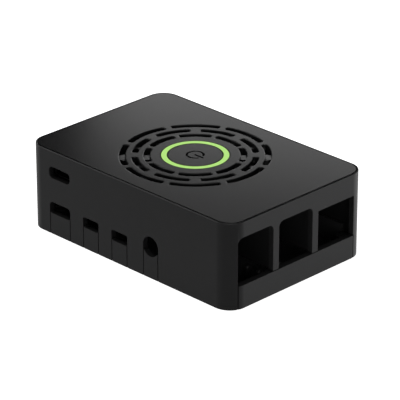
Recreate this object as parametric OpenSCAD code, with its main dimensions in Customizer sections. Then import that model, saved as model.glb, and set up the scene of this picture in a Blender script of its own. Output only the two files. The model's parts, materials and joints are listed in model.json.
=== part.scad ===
// Enclosure for a credit-card-size single board computer, with a sprung power
// button, a lit ring round it, a grille lid, a cooling fan and a power board.
// Units are millimetres. The origin is the middle of the underside, +X runs
// along the length towards the network end, +Z is up.

/* [Case] */
// Length of the case along X
case_l = 93.5; // [92:0.5:100]
// Width of the case along Y
case_w = 62.5; // [61.5:0.5:68]
// Height of the case
case_h = 30; // [29.5:0.5:36]
// Radius of the upright corners
corner_r = 6.25; // [5.5:0.25:7]
// Thickness of the side walls
wall = 2; // [1.8:0.1:2.2]
// Thickness of the floor
floor_t = 2; // [1.8:0.1:2.4]
// Width of the narrow rim round the lid
rim_w = 0.5; // [0.4:0.05:0.8]
// Radius of the rim's outer top edge
edge_r = 0.25; // [0.2:0.05:0.35]
// Gap between the lid and the rim
lid_gap = 0.2; // [0.15:0.05:0.4]
// Gap at the seams round the tongues and the end panel
seam = 0.3; // [0.2:0.05:0.4]
// Gap between the base and the inside of the walls
base_fit = 0.25; // [0.2:0.05:0.35]

/* [Board seat] */
// Gap from the case's end face to the board's edge
board_from_end = 3.95; // [3.6:0.05:4.2]
// Gap from the case's long port face to the board's edge
board_from_side = 2.6; // [2.5:0.05:2.8]
// Gap from the board's port end to the case's end face
board_end_gap = 4.55; // [4.3:0.05:4.8]
// Gap from the board's pin side to the case's other long face
board_side_gap = 3.9; // [3.7:0.05:4.1]
// Height of the board's underside above the table
board_z = 6.5; // [6:0.1:7]
// Thickness of the board
board_t = 1.5; // [1.2:0.1:1.6]
// Inset of the board's holes from its edges
hole_inset = 3.5; // [3:0.1:4]
// Hole spacing along the board
hole_dx = 58; // [56:0.5:60]
// Radius of a standoff
post_r = 3; // [2.6:0.1:3.2]
// Radius of a standoff's screw hole
post_hole_r = 1.05; // [0.9:0.05:1.25]
// Solid floor left under a standoff's screw hole
post_hole_floor = 1; // [0.6:0.1:1.4]
// Radius of the small support pips
pip_r = 1; // [0.8:0.1:1.3]
// Height of the base's inner rim above the table
base_rim_top = 9; // [8.5:0.1:9.4]
// Thickness of the base's inner rim
base_rim_t = 1.2; // [0.9:0.1:1.3]

/* [Ports on the long side] */
// Power port centre from the board's edge
power_x = 11.2; // [11:0.1:11.6]
// First video port centre from the board's edge
video_a_x = 26; // [25.6:0.1:26.4]
// Second video port centre from the board's edge
video_b_x = 39.5; // [39:0.1:40]
// Audio port centre from the board's edge
audio_x = 54; // [53.6:0.1:54.4]
// Width of the power openings
power_w = 9.9; // [9.4:0.1:10.4]
// Height of the power openings
power_h = 4.1; // [4:0.1:4.6]
// Corner radius of the power openings
power_r = 1.5; // [1:0.1:1.9]
// Width of the video openings
video_w = 7.4; // [7:0.1:7.8]
// Height of the video openings
video_h = 3.7; // [3.4:0.1:4]
// Upper corner radius of the video openings
video_r = 0.8; // [0.5:0.1:1.2]
// Radius of the audio opening
audio_r = 3.45; // [3.3:0.05:3.6]
// Height of the audio opening's centre above the board
audio_up = 3.2; // [3:0.1:3.4]
// Drop of the audio tongue's tips below the opening's centre
audio_tip = 1.9; // [1.6:0.1:2.2]
// Lower corner radius of the openings in the tongues
sill_r = 1.2; // [0.8:0.1:1.4]
// Drop of the side openings' sill below the board's upper face
side_sill_drop = 0.4; // [0.2:0.1:0.6]
// Drop of the upper power slot's centre below the case's top
upper_slot_drop = 7.6; // [7.2:0.1:8.2]

/* [Ports at the end] */
// First double port centre from the board's edge
usb_a_y = 9; // [8.8:0.1:9.2]
// Second double port centre from the board's edge
usb_b_y = 27; // [26.8:0.1:27.2]
// Network port centre from the board's edge
lan_y = 45.75; // [45.5:0.05:46]
// Width of the double port openings
usb_w = 15.4; // [15:0.1:15.6]
// Top of the double port openings
usb_top = 24.6; // [24:0.1:25]
// Upper corner radius of the double port openings
usb_r = 2; // [1.5:0.1:2.5]
// Width of the network opening
lan_w = 16.8; // [16.4:0.1:17]
// Top of the network opening
lan_top = 22.3; // [21.8:0.1:23]
// Sill of the end openings above the board's upper face
end_sill_up = 0.05; // [0:0.05:0.3]
// Width of the end panel's foot past the network opening
panel_margin = 0.3; // [0.2:0.05:0.5]
// Length of the partitions between the end openings
partition_l = 17; // [14:0.5:18]
// Gap left under the partitions above the board
partition_gap = 0.5; // [0.4:0.1:1]
// Step of a partition back from the sides of the openings
partition_in = 0.25; // [0.15:0.05:0.4]

/* [Lid and grille] */
// Thickness of the lid
lid_t = 2; // [1.8:0.1:2.4]
// Middle radius of the inner ring of slots
ring_r = 15.85; // [15.6:0.05:16.2]
// Distance from one ring of slots to the next
ring_pitch = 4; // [3.7:0.1:4.2]
// Width of a slot
slot_w = 1.9; // [1.7:0.1:2.2]
// Corner radius of a slot's ends
slot_corner = 0.55; // [0.4:0.05:0.7]
// Width of the bridges in the inner ring
bridge_in = 1.8; // [1.4:0.1:2.2]
// Width of the bridges in the middle ring
bridge_mid = 3.7; // [3.2:0.1:4.2]
// Width of the bridges in the outer ring
bridge_out = 2.4; // [2:0.1:2.8]
// Width of the wide sunken spokes
spoke_wide = 3.6; // [3:0.1:4]
// Width of the narrow sunken spokes
spoke_narrow = 1.8; // [1.4:0.1:2.2]
// Depth of the spokes below the lid's face
spoke_drop = 1; // [0.8:0.1:1.2]
// Thickness of the spokes
spoke_t = 0.8; // [0.6:0.1:0.9]
// Radius of the lid's pegs
peg_r = 1.25; // [1:0.05:1.4]
// Length of the lid's pegs
peg_l = 2.2; // [1.8:0.1:2.4]
// Gap round the lid's pegs
peg_fit = 0.1; // [0.08:0.01:0.15]
// Wall round a peg's socket
peg_wall = 1.05; // [0.9:0.05:1.2]
// Distance of the pegs out from the corner's centre, along X and along Y
peg_out = 1.5; // [1.4:0.05:1.6]

/* [Power button] */
// Radius of the button's face
button_r = 8.9; // [8.8:0.05:9]
// Outer radius of the lit ring
glow_out_r = 11.15; // [11.1:0.05:11.4]
// Gap between the button and the lit ring
button_gap = 0.35; // [0.2:0.05:0.4]
// Gap between the lit ring and the lid
glow_gap = 0.3; // [0.2:0.05:0.4]
// Depth of the lit ring
glow_h = 4.2; // [4:0.1:4.3]
// Width of the lit ring's flange under the lid
glow_lip = 0.8; // [0.6:0.1:1]
// Thickness of that flange
glow_lip_t = 1; // [0.8:0.1:1.2]
// Thickness of the button's face
cap_t = 1.4; // [1.2:0.1:1.6]
// Wall of the button's skirt
skirt_t = 1.2; // [1:0.1:1.4]
// Width of the lip that keeps the button in the ring
button_lip = 0.6; // [0.5:0.05:0.7]
// Depth of the ring's shoulder over that lip
shoulder_t = 1.8; // [1.6:0.1:2]
// Radius of the button's stem
stem_r = 1.6; // [1.4:0.1:1.8]
// Travel of the button
button_travel = 0.5; // [0.3:0.05:0.6]
// Middle radius of the sign on the button
sign_r = 2.75; // [2.5:0.05:3]
// Line width of the sign on the button
sign_w = 0.75; // [0.5:0.05:0.8]
// Depth of the sign on the button
sign_d = 0.3; // [0.15:0.05:0.4]
// Half angle of the sign's gap
sign_gap = 28; // [24:1:36]
// Reach of the sign's bar past its circle
sign_reach = 0.7; // [0.5:0.05:1]

/* [Button board] */
// Radius of the round button board
disc_r = 12.6; // [12.4:0.1:13]
// Thickness of the round button board
disc_t = 1.2; // [1:0.1:1.6]
// Gap from the lid's underside to the button board
disc_drop = 3.4; // [3.3:0.1:3.6]
// Radius at which the button board is screwed to the lid
disc_screw_r = 14; // [13.8:0.1:14.4]
// Radius of a boss for a small screw
small_boss_r = 1.5; // [1.3:0.1:1.7]
// Radius of a small screw
small_screw_r = 0.7; // [0.6:0.05:0.8]
// Length of a small screw under its head
small_screw_l = 3.2; // [2.8:0.1:3.4]
// Side of the switch
switch_w = 6; // [5.5:0.1:6.5]
// Height of the switch's housing
switch_h = 1.6; // [1.5:0.1:1.7]
// Radius of the switch's plunger
plunger_r = 1.5; // [1.3:0.1:1.7]
// Rise of the plunger above the housing
plunger_up = 0.6; // [0.55:0.05:0.7]
// Gap round the plunger
plunger_fit = 0.1; // [0.06:0.01:0.15]
// Side of a light
led_w = 1.6; // [1.2:0.1:1.8]
// Height of a light
led_h = 0.7; // [0.5:0.1:0.8]

/* [Power board] */
// Thickness of the power board
pcb_t = 1.6; // [1.4:0.1:1.7]
// Gap from the walls to the power board
pcb_gap = 0.6; // [0.5:0.1:0.9]
// Inner end of the power board
pcb_end_x = -19.5; // [-19.8:0.1:-19]
// Radius left clear for the fan's air
air_r = 26; // [25.5:0.1:27]
// Inset of the power board's screws from its edges
pcb_screw_inset = 2.6; // [2.4:0.1:3]
// Distance of two of its screws from the case's middle line
pcb_screw_y = 18.5; // [17:0.5:19]
// Width of the power inlet
inlet_w = 8.94; // [8.8:0.02:9.1]
// Height of the power inlet
inlet_h = 3.26; // [3.1:0.02:3.4]
// Depth of the power inlet
inlet_d = 7.3; // [6.9:0.1:7.6]
// Metal thickness of the power inlet
inlet_t = 0.3; // [0.25:0.05:0.4]
// Pin pitch of the header socket
pin_pitch = 2.54; // [2.5:0.01:2.58]
// Columns of the header socket
pin_cols = 6; // [3:1:8]
// Gap under the header socket for the base of the board's pins
socket_up = 3.2; // [2.8:0.1:3.6]
// Middle of the header, from the board's edge
header_mid_x = 32.5; // [32:0.1:33]
// Columns of the board's whole header
header_cols = 20; // [20:1:20]

/* [Fan] */
// Side of the fan
fan_w = 40; // [38:0.5:40]
// Thickness of the fan
fan_t = 7; // [6.8:0.1:7.2]
// Gap from the lid's underside to the fan
fan_drop = 5.6; // [5.4:0.1:6]
// Spacing of the fan's screw holes
fan_hole_d = 32; // [31.5:0.1:32.5]
// Radius of the fan's screw holes
fan_hole_r = 1.6; // [1.5:0.05:1.7]
// Radius of the fan's air bore
fan_bore_r = 18.7; // [18.2:0.1:18.9]
// Gap between the blade tips and the bore
blade_gap = 0.6; // [0.5:0.1:0.9]
// Number of blades
blades = 7; // [5:1:9]
// Width of a blade
blade_chord = 6.4; // [5.5:0.1:6.8]
// Pitch of the blades
blade_pitch = 35; // [28:1:38]
// Thickness of a blade
blade_t = 0.9; // [0.7:0.1:1.1]
// Outer radius of the rotor's hub
hub_r = 9.4; // [9.1:0.1:9.8]
// Wall of the rotor's hub
hub_t = 1; // [0.8:0.1:1.1]
// Radius of the rotor's shaft
shaft_r = 0.75; // [0.6:0.05:0.9]
// Gap between shaft and bearing
shaft_fit = 0.05; // [0.03:0.01:0.08]
// Wall of the bearing
bearing_t = 1.2; // [1:0.1:1.3]
// Radius of the fan's screws
fan_screw_r = 1.25; // [1.1:0.05:1.4]

/* [Screws] */
// Radius of a case screw
screw_r = 1.25; // [1.1:0.05:1.4]
// Radius of a case screw's head
head_r = 2.2; // [2:0.1:2.4]
// Height of a case screw's head
head_h = 1.1; // [0.9:0.1:1.2]
// Gap round screws in their holes
screw_fit = 0.08; // [0.05:0.01:0.12]
// Wall of a case screw's boss
boss_wall = 1.3; // [1.2:0.1:1.5]
// Web between the hole for a case screw's head and the base's edge
head_web = 0.8; // [0.6:0.1:1]
// Gap between a boss and the board
boss_gap = 1.4; // [1:0.1:1.6]
// Gap between a standoff and the boss next to it
boss_post_gap = 1.7; // [1.2:0.1:2.4]

/* [Hidden] */
$fn = 64;
eps = 0.01;
over = 1;
half_l = case_l / 2;
half_w = case_w / 2;
corner_x = half_l - corner_r;
corner_y = half_w - corner_r;
inner_x = half_l - wall;
inner_y = half_w - wall;
lid_z = case_h - lid_t;
lid_in = rim_w + lid_gap;
// The board's corner nearest the power port
board_x0 = -half_l + board_from_end;
board_y0 = -half_w + board_from_side;
board_l = case_l - board_from_end - board_end_gap;
board_w = case_w - board_from_side - board_side_gap;
hole_dy = board_w - 2 * hole_inset;
board_top = board_z + board_t;
side_sill = board_top - side_sill_drop;
end_sill = board_top + end_sill_up;
tongue_top = side_sill + sill_r / 3;
power_cx = board_x0 + power_x;
video_cx = [board_x0 + video_a_x, board_x0 + video_b_x];
audio_cx = board_x0 + audio_x;
audio_cz = board_top + audio_up;
usb_cy = [board_y0 + usb_a_y, board_y0 + usb_b_y];
lan_cy = board_y0 + lan_y;
panel_y0 = usb_cy[0] - usb_w / 2;
panel_y1 = lan_cy + lan_w / 2 + panel_margin;
post_x = [board_x0 + hole_inset, board_x0 + hole_inset + hole_dx];
post_y = [board_y0 + hole_inset, board_y0 + hole_inset + hole_dy];
// Case screws and the bosses that take them
boss_r = screw_r + screw_fit + boss_wall;
boss_y = inner_y - max(boss_r, base_fit + head_web + head_r + screw_fit);
boss_root_w = inner_y - boss_y + wall / 2;
boss_top = board_z - boss_gap;
boss_low = floor_t + base_fit;
boss_back_x = (power_cx + power_w / 2 + video_cx[0] - video_w / 2) / 2;
boss_front_x = post_x[1] + post_r + boss_post_gap + boss_r;
boss_at = [for (x = [boss_back_x, boss_front_x]) for (s = [-1, 1]) [x, s]];
peg_at = [for (sx = [-1, 1]) for (sy = [-1, 1]) [sx * (corner_x + peg_out), sy * (corner_y + peg_out)]];
peg_boss_r = peg_r + peg_fit + peg_wall;
peg_boss_h = peg_l + 2 * peg_fit;
// Grille
ring_count = 3;
slots_per_ring = 8;
slot_step = 360 / slots_per_ring;
ring_bridge = [bridge_in, bridge_mid, bridge_out];
ring_turn = [0, slot_step / 2, 0];
// Round corners of slots and round ends of the sign stay a hair inside their width
end_ease = 0.02;
// Bosses reach into the lid, to just below the spokes' tops
root_gap = 0.1;
boss_root = lid_t - spoke_drop - root_gap;
grille_r = ring_r + (ring_count - 1) * ring_pitch + slot_w / 2;
// Button and lit ring
glow_in_r = button_r + button_gap;
glow_hole_r = glow_out_r + glow_gap;
glow_low = case_h - glow_h;
disc_top = lid_z - disc_drop;
disc_low = disc_top - disc_t;
switch_top = disc_top + switch_h;
plunger_top = switch_top + plunger_up;
dome_t = 0.2;
well_floor = 0.4;
well_d = switch_h - well_floor;
press_gap = 0.05;
plunger_low = switch_top - well_d + dome_t + button_travel + press_gap;
led_ring_r = (glow_in_r + glow_out_r) / 2;
led_count = 8;
disc_screw_at = [22.5, 157.5, 292.5];
small_head_r = 2 * small_screw_r;
small_head_h = small_screw_r;
ear_rim = 0.7;
ear_r = small_boss_r + ear_rim;
// Power board
upper_slot_z = case_h - upper_slot_drop;
pcb_low = upper_slot_z + inlet_h / 2;
pcb_top = pcb_low + pcb_t;
pcb_x0 = -inner_x + pcb_gap;
pcb_y1 = inner_y - pcb_gap;
pcb_screws = [[pcb_x0 + pcb_screw_inset, -pcb_screw_y], [pcb_x0 + pcb_screw_inset, pcb_screw_y],
    [pcb_end_x - pcb_screw_inset, pcb_screw_inset - pcb_y1]];
inlet_y = -inner_y + base_fit;
tongue_back = 0.8;
socket_x = board_x0 + header_mid_x - (header_cols - pin_cols) / 2 * pin_pitch;
socket_y = board_y0 + hole_inset + hole_dy;
socket_low = board_top + socket_up;
chip_w = 5;
chip_h = 1;
coil_w = 7;
coil_h = 3;
// Fan
fan_top = lid_z - fan_drop;
fan_low = fan_top - fan_t;
fan_plate_t = 1.2;
fan_at = [for (sx = [-1, 1]) for (sy = [-1, 1]) [sx * fan_hole_d / 2, sy * fan_hole_d / 2]];
blade_r = fan_bore_r - blade_gap;
hub_sink = 0.5;
hub_gap = 0.6;
hub_top = fan_top - hub_sink;
hub_low = fan_low + fan_plate_t + hub_gap;
hub_in_r = hub_r - hub_t;
bearing_r = shaft_r + shaft_fit + bearing_t;
tube_t = 0.9;
tube_r = bearing_r + screw_fit + tube_t;
bearing_low = fan_low + fan_plate_t;
bearing_top = hub_top - hub_t - hub_gap;
bearing_floor = 0.3;
shaft_low = bearing_low + bearing_floor + shaft_fit;
magnet_t = 1;
magnet_fit = 0.02;
magnet_r = hub_in_r - magnet_fit;
air_gap = 0.5;
circuit_t = 0.5;
coil_gap = 0.4;
stator_core = 1.2;
stator_r = magnet_r - magnet_t - air_gap;
stator_low = bearing_low + circuit_t + coil_gap;
stator_top = bearing_top - coil_gap;
fan_boss_r = fan_screw_r + boss_wall;
fan_screw_bite = 4;
fan_head_h = 1.2;
fan_head_r = 2.4;
// Cables inside
lead_d = 1.6;
lead_y = -12;
plug_w = 6;
plug_d = 4.4;
plug_h = 3;
plug_from_end = 13.15;
plug_x = pcb_x0 + plug_from_end;
plug_face_x = plug_x + plug_d / 2;
plug_z = pcb_low - plug_h / 2;
lead_x = -fan_w / 2;
lead_z = fan_top - lead_d;
// The lead leaves the fan level, rises in one soft curve and enters the plug level
lead_steps = 10;
lead_level = 0.15;
function lead_rise(u) = let (t = max(0, min(1, (u - lead_level) / (1 - 2 * lead_level)))) t * t * (3 - 2 * t);
lead_route = [for (i = [0 : lead_steps]) let (u = i / lead_steps)
    [lead_x + u * (plug_face_x - lead_x), lead_z + lead_rise(u) * (plug_z - lead_z)]];
link_w = 4;
link_side = 0.5;
link_inset = 0.3;
link_t = 0.6;
link_socket_d = 2.4;
link_socket_h = 0.9;
link_disc_x = -disc_r + link_socket_d / 2 + link_inset;
link_pcb_x = -air_r - link_socket_d / 2 - 2 * link_inset;

// Outline of a rectangle with round corners
module round_rect(l, w, r) {
    square([l - 2 * r, w], center = true);
    square([l, w - 2 * r], center = true);
    for (sx = [-1, 1]) for (sy = [-1, 1])
        translate([sx * (l / 2 - r), sy * (w / 2 - r)]) circle(r);
}

// Outline of a port, standing on y = 0, with its own radii above and below
module port_shape(w, h, top_r, low_r) {
    translate([-w / 2, low_r]) square([w, h - top_r - low_r]);
    translate([-w / 2 + low_r, 0]) square([w - 2 * low_r, h / 2]);
    translate([-w / 2 + top_r, h / 2]) square([w - 2 * top_r, h / 2]);
    for (s = [-1, 1]) {
        translate([s * (w / 2 - low_r), low_r]) circle(low_r);
        translate([s * (w / 2 - top_r), h - top_r]) circle(top_r);
    }
}

// A port cut through the long wall at x
module side_cut(x, z) {
    translate([x, -half_w + wall + over, z]) rotate([90, 0, 0]) linear_extrude(wall + 2 * over) children();
}

// A port cut through the end wall at y
module end_cut(y, z) {
    translate([corner_x, y, z]) rotate([90, 0, 90]) linear_extrude(corner_r + over) children();
}

// The wall's section, with its outer face at x = 0 and its inside at negative x
module wall_section() {
    translate([-wall, 0]) square([wall, lid_z]);
    translate([-rim_w, 0]) square([rim_w - edge_r, case_h]);
    translate([-rim_w, 0]) square([rim_w, case_h - edge_r]);
    translate([-edge_r, case_h - edge_r]) circle(edge_r);
}

// The wall's section carried round the case
module wall_loop() {
    for (i = [0 : 3]) {
        sx = (i == 0 || i == 3) ? 1 : -1;
        sy = i < 2 ? 1 : -1;
        translate([sx * corner_x, sy * corner_y, 0]) rotate([0, 0, 90 * i]) rotate_extrude(angle = 90)
            translate([corner_r, 0]) wall_section();
    }
    for (s = [0, 1]) rotate([0, 0, 180 * s]) {
        translate([half_l, corner_y, 0]) rotate([90, 0, 0]) linear_extrude(2 * corner_y) wall_section();
        translate([-corner_x, half_w, 0]) rotate([90, 0, 90]) linear_extrude(2 * corner_x) wall_section();
    }
}

// A screw standing on z = 0 under its head, with a cross recess
module screw(r, l, r_head, h_head) {
    cross = r_head * 1.1;
    cross_w = r_head * 0.28;
    difference() {
        union() {
            translate([0, 0, -h_head / 2]) cylinder(r = r, h = h_head / 2 + l);
            translate([0, 0, -h_head]) cylinder(r = r_head, h = h_head);
        }
        for (a = [0, 90]) rotate([0, 0, a]) translate([0, 0, -h_head])
            cube([cross, cross_w, h_head], center = true);
    }
}

// Openings of the long side: the two power slots, the two video ports and audio
module side_openings() {
    side_cut(power_cx, upper_slot_z - power_h / 2) port_shape(power_w, power_h, power_r, power_r);
    side_cut(power_cx, side_sill) port_shape(power_w, power_h, power_r, sill_r);
    for (x = video_cx) side_cut(x, side_sill) port_shape(video_w, video_h, video_r, sill_r);
    side_cut(audio_cx, audio_cz) circle(audio_r);
}

// Slots in the shell's long wall that the base's tongues rise through
module tongue_slots() {
    slot_top = side_sill + sill_r;
    side_cut(power_cx, -over) translate([-power_w / 2, 0]) square([power_w, slot_top + over]);
    for (x = video_cx) side_cut(x, -over) translate([-video_w / 2, 0]) square([video_w, slot_top + over]);
    side_cut(audio_cx, -over) translate([-audio_r, 0]) square([2 * audio_r, audio_cz + over]);
}

// One tongue of the base, flush with the long wall's outer face
module tongue(x, w, top) {
    translate([x - w / 2 + seam, -half_w, 0]) cube([w - 2 * seam, wall, top]);
    translate([x - w / 2 + seam, -half_w, 0]) cube([w - 2 * seam, wall + 2 * base_fit + eps, floor_t]);
}

// Low wall of the base along the back and the blind end, open at the screw bosses
module base_rim() {
    rim_y = inner_y - base_fit;
    rim_x = inner_x - base_fit;
    rim_r = corner_r - wall - base_fit;
    difference() {
        linear_extrude(base_rim_top) intersection() {
            difference() {
                round_rect(2 * rim_x, 2 * rim_y, rim_r);
                round_rect(2 * (rim_x - base_rim_t), 2 * (rim_y - base_rim_t), rim_r - base_rim_t);
            }
            union() {
                translate([-half_l, corner_y]) square([half_l + corner_x - pip_r, corner_r]);
                translate([-half_l, -corner_y]) square([corner_r, half_w + corner_y]);
            }
        }
        for (b = boss_at) translate([b[0], b[1] * boss_y, floor_t + base_rim_top / 2])
            cube([2 * (boss_r + base_fit), 4 * boss_r, base_rim_top], center = true);
    }
}

// Plate, tongues, end panel, inner rim and supports for the board
module base_tray() color("#1c1c1d") difference() {
    pip_x = board_x0 + board_l - 2 * pip_r;
    pip_y = usb_cy[0] + usb_w / 2 + pip_r / 2;
    pips = [[pip_x - usb_w / 3, pip_y], [pip_x, pip_y], [pip_x + pip_r / 2, usb_cy[1] - pip_r]];
    union() {
        linear_extrude(floor_t)
            round_rect(2 * (inner_x - base_fit), 2 * (inner_y - base_fit), corner_r - wall - base_fit);
        tongue(power_cx, power_w, tongue_top);
        for (x = video_cx) tongue(x, video_w, tongue_top);
        tongue(audio_cx, 2 * audio_r, audio_cz - audio_tip);
        intersection() {
            linear_extrude(end_sill) round_rect(case_l, case_w, corner_r);
            translate([inner_x - base_fit - eps, panel_y0 + seam, -over])
                cube([corner_r, panel_y1 - panel_y0 - 2 * seam, case_h]);
        }
        intersection() {
            linear_extrude(end_sill) difference() {
                round_rect(case_l, case_w, corner_r);
                round_rect(2 * inner_x, 2 * inner_y, corner_r - wall);
            }
            translate([corner_x, panel_y0 + seam, -over]) cube([2 * corner_r, corner_r, case_h]);
        }
        base_rim();
        for (x = post_x) for (y = post_y) translate([x, y, 0]) cylinder(r = post_r, h = board_z);
        for (p = pips) translate([p[0], p[1], 0]) {
            cylinder(r = pip_r, h = board_z - pip_r);
            translate([0, 0, board_z - pip_r]) sphere(pip_r);
        }
        translate([corner_x + pip_r, corner_y + pip_r, 0]) cylinder(r = 2 * pip_r, h = board_z);
    }
    side_openings();
    for (x = post_x) for (y = post_y) translate([x, y, post_hole_floor])
        cylinder(r = post_hole_r, h = board_z);
    for (b = boss_at) translate([b[0], b[1] * boss_y, 0]) {
        translate([0, 0, -over]) cylinder(r = screw_r + 2 * screw_fit, h = floor_t + 2 * over);
        translate([0, 0, -over]) cylinder(r = head_r + screw_fit, h = head_h + over);
    }
}

// Walls with the ports, the ledge for the lid, partitions and bosses
module body_shell() color("#1a1a1b") difference() {
    bar_y = [usb_cy[0] + usb_w / 2, usb_cy[1] + usb_w / 2];
    bar_w = [usb_cy[1] - usb_cy[0] - usb_w, lan_cy - lan_w / 2 - usb_cy[1] - usb_w / 2];
    partition_low = board_top + partition_gap;
    union() {
        wall_loop();
        for (i = [0, 1]) translate([inner_x - partition_l, bar_y[i] + partition_in, partition_low])
            cube([partition_l + wall / 2, bar_w[i] - 2 * partition_in, lid_z - base_fit - partition_low]);
        for (b = boss_at) translate([b[0], b[1] * boss_y, boss_low]) {
            cylinder(r = boss_r, h = boss_top - boss_low);
            translate([-boss_r, b[1] > 0 ? 0 : -boss_root_w, 0])
                cube([2 * boss_r, boss_root_w, boss_top - boss_low]);
        }
        for (p = peg_at) translate([p[0], p[1], lid_z - peg_boss_h])
            cylinder(r = peg_boss_r, h = peg_boss_h);
    }
    side_openings();
    tongue_slots();
    for (y = usb_cy) end_cut(y, end_sill) port_shape(usb_w, usb_top - end_sill, usb_r, eps);
    end_cut(lan_cy, end_sill) translate([-lan_w / 2, 0]) square([lan_w, lan_top - end_sill]);
    translate([corner_x, panel_y0, -over]) cube([2 * corner_r, panel_y1 - panel_y0, end_sill + seam + over]);
    for (b = boss_at) translate([b[0], b[1] * boss_y, 0]) cylinder(r = screw_r + screw_fit, h = boss_top + over);
    for (p = peg_at) translate([p[0], p[1], lid_z - peg_boss_h - over])
        cylinder(r = peg_r + peg_fit, h = peg_boss_h + 2 * over);
}

// One slot of a ring, centred on +X, with straight ends and round corners
module ring_slot(r, bridge) {
    end_a = slot_step / 2 - asin((bridge / 2 + slot_corner) / r);
    end_w = slot_w - 2 * slot_corner;
    reach = 2 * r;
    intersection() {
        difference() {
            circle(r + slot_w / 2);
            circle(r - slot_w / 2);
        }
        polygon([[0, 0], [reach * cos(end_a), -reach * sin(end_a)], [reach * cos(end_a), reach * sin(end_a)]]);
    }
    for (s = [-1, 1]) rotate(s * end_a) translate([r, 0]) {
        square([end_w, 2 * slot_corner], center = true);
        for (k = [-1, 1]) translate([k * end_w / 2, 0]) circle(slot_corner - end_ease);
    }
}

// Lid with the grille, sunken spokes, pegs and the bosses that carry fan and boards
module top_cover() color("#1b1b1c") {
    lid_l = case_l - 2 * lid_in;
    lid_w = case_w - 2 * lid_in;
    spoke_in = ring_r - slot_w;
    spoke_l = grille_r + slot_w / 2 - spoke_in;
    difference() {
        union() {
            translate([0, 0, lid_z]) linear_extrude(lid_t) difference() {
                round_rect(lid_l, lid_w, corner_r - lid_in);
                circle(glow_hole_r);
                for (k = [0 : ring_count - 1]) for (i = [0 : slots_per_ring - 1])
                    rotate(i * slot_step + ring_turn[k]) ring_slot(ring_r + k * ring_pitch, ring_bridge[k]);
            }
            for (i = [0 : 2 * slots_per_ring - 1]) rotate([0, 0, i * slot_step / 2]) {
                w = i % 2 == 0 ? spoke_wide : spoke_narrow;
                translate([spoke_in, -w / 2, case_h - spoke_drop - spoke_t]) cube([spoke_l, w, spoke_t]);
            }
            for (p = peg_at) translate([p[0], p[1], lid_z - peg_l]) cylinder(r = peg_r, h = peg_l + boss_root);
            for (p = fan_at) translate([p[0], p[1], fan_top]) cylinder(r = fan_boss_r, h = fan_drop + boss_root);
            for (p = pcb_screws) translate([p[0], p[1], pcb_top])
                cylinder(r = small_boss_r, h = lid_z - pcb_top + boss_root);
            for (a = disc_screw_at) rotate([0, 0, a]) translate([disc_screw_r, 0, disc_top])
                cylinder(r = small_boss_r, h = disc_drop + boss_root);
        }
        for (p = fan_at) translate([p[0], p[1], fan_top - over])
            cylinder(r = fan_screw_r + screw_fit, h = fan_screw_bite + over + screw_fit);
        for (p = pcb_screws) translate([p[0], p[1], pcb_low])
            cylinder(r = small_screw_r + screw_fit, h = small_screw_l + screw_fit);
        for (a = disc_screw_at) rotate([0, 0, a]) translate([disc_screw_r, 0, disc_low])
            cylinder(r = small_screw_r + screw_fit, h = small_screw_l + screw_fit);
    }
}

// Translucent ring set in the lid, with a flange under it
module light_ring() color("#b4e878") translate([0, 0, glow_low]) difference() {
    union() {
        cylinder(r = glow_out_r, h = glow_h);
        translate([0, 0, lid_z - glow_lip_t - glow_low]) cylinder(r = glow_out_r + glow_lip, h = glow_lip_t);
    }
    translate([0, 0, -over]) cylinder(r = glow_in_r, h = glow_h + 2 * over);
    translate([0, 0, -over]) cylinder(r = glow_in_r + button_lip, h = glow_h - shoulder_t + over);
}

// Standard power sign, open towards +X
module power_sign() {
    reach = 2 * sign_r;
    difference() {
        circle(sign_r + sign_w / 2);
        circle(sign_r - sign_w / 2);
        polygon([[0, 0], [reach * cos(sign_gap), -reach * sin(sign_gap)], [reach * cos(sign_gap), reach * sin(sign_gap)]]);
    }
    for (s = [-1, 1]) rotate(s * sign_gap) translate([sign_r, 0]) circle(sign_w / 2 - end_ease);
    translate([0, -sign_w / 2]) square([sign_r + sign_reach, sign_w]);
    for (x = [0, sign_r + sign_reach]) translate([x, 0]) circle(sign_w / 2);
}

// Round button with a skirt and a stem
module power_button() color("#1c1c1d") difference() {
    skirt_low = glow_low + button_gap;
    union() {
        translate([0, 0, case_h - cap_t]) cylinder(r = button_r, h = cap_t);
        difference() {
            translate([0, 0, skirt_low]) cylinder(r = button_r, h = case_h - skirt_low);
            translate([0, 0, skirt_low - over]) cylinder(r = button_r - skirt_t, h = case_h - skirt_low - cap_t + over);
        }
        translate([0, 0, skirt_low]) difference() {
            cylinder(r = button_r + button_lip, h = case_h - shoulder_t - button_gap - skirt_low);
            translate([0, 0, -over]) cylinder(r = button_r - skirt_t / 2, h = case_h);
        }
        translate([0, 0, plunger_top]) cylinder(r = stem_r, h = case_h - plunger_top - cap_t + eps);
    }
    translate([0, 0, case_h - sign_d]) linear_extrude(sign_d + over) power_sign();
}

// Plunger of the switch, under the button's stem
module switch_plunger() color("#2a2a2c") {
    translate([0, 0, plunger_low]) cylinder(r = plunger_r, h = plunger_top - plunger_low);
}

// Housing of the switch, with a well for the plunger
module switch_body() color("#3a3a3c") difference() {
    translate([-switch_w / 2, -switch_w / 2, disc_top]) cube([switch_w, switch_w, switch_h]);
    translate([0, 0, switch_top - well_d]) cylinder(r = plunger_r + plunger_fit, h = well_d + over);
}

// Snap disc at the bottom of the switch's well
module switch_dome() color("#c8c8ca") {
    translate([0, 0, switch_top - well_d]) cylinder(r = plunger_r - plunger_fit, h = dome_t);
}

// Round board under the button, with three ears for its screws
module button_board() color("#16301f") translate([0, 0, disc_low]) difference() {
    linear_extrude(disc_t) {
        circle(disc_r);
        for (a = disc_screw_at) rotate(a) translate([disc_screw_r, 0]) circle(ear_r);
    }
    for (a = disc_screw_at) rotate([0, 0, a]) translate([disc_screw_r, 0, -over])
        cylinder(r = small_screw_r + screw_fit, h = disc_t + 2 * over);
}

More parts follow.
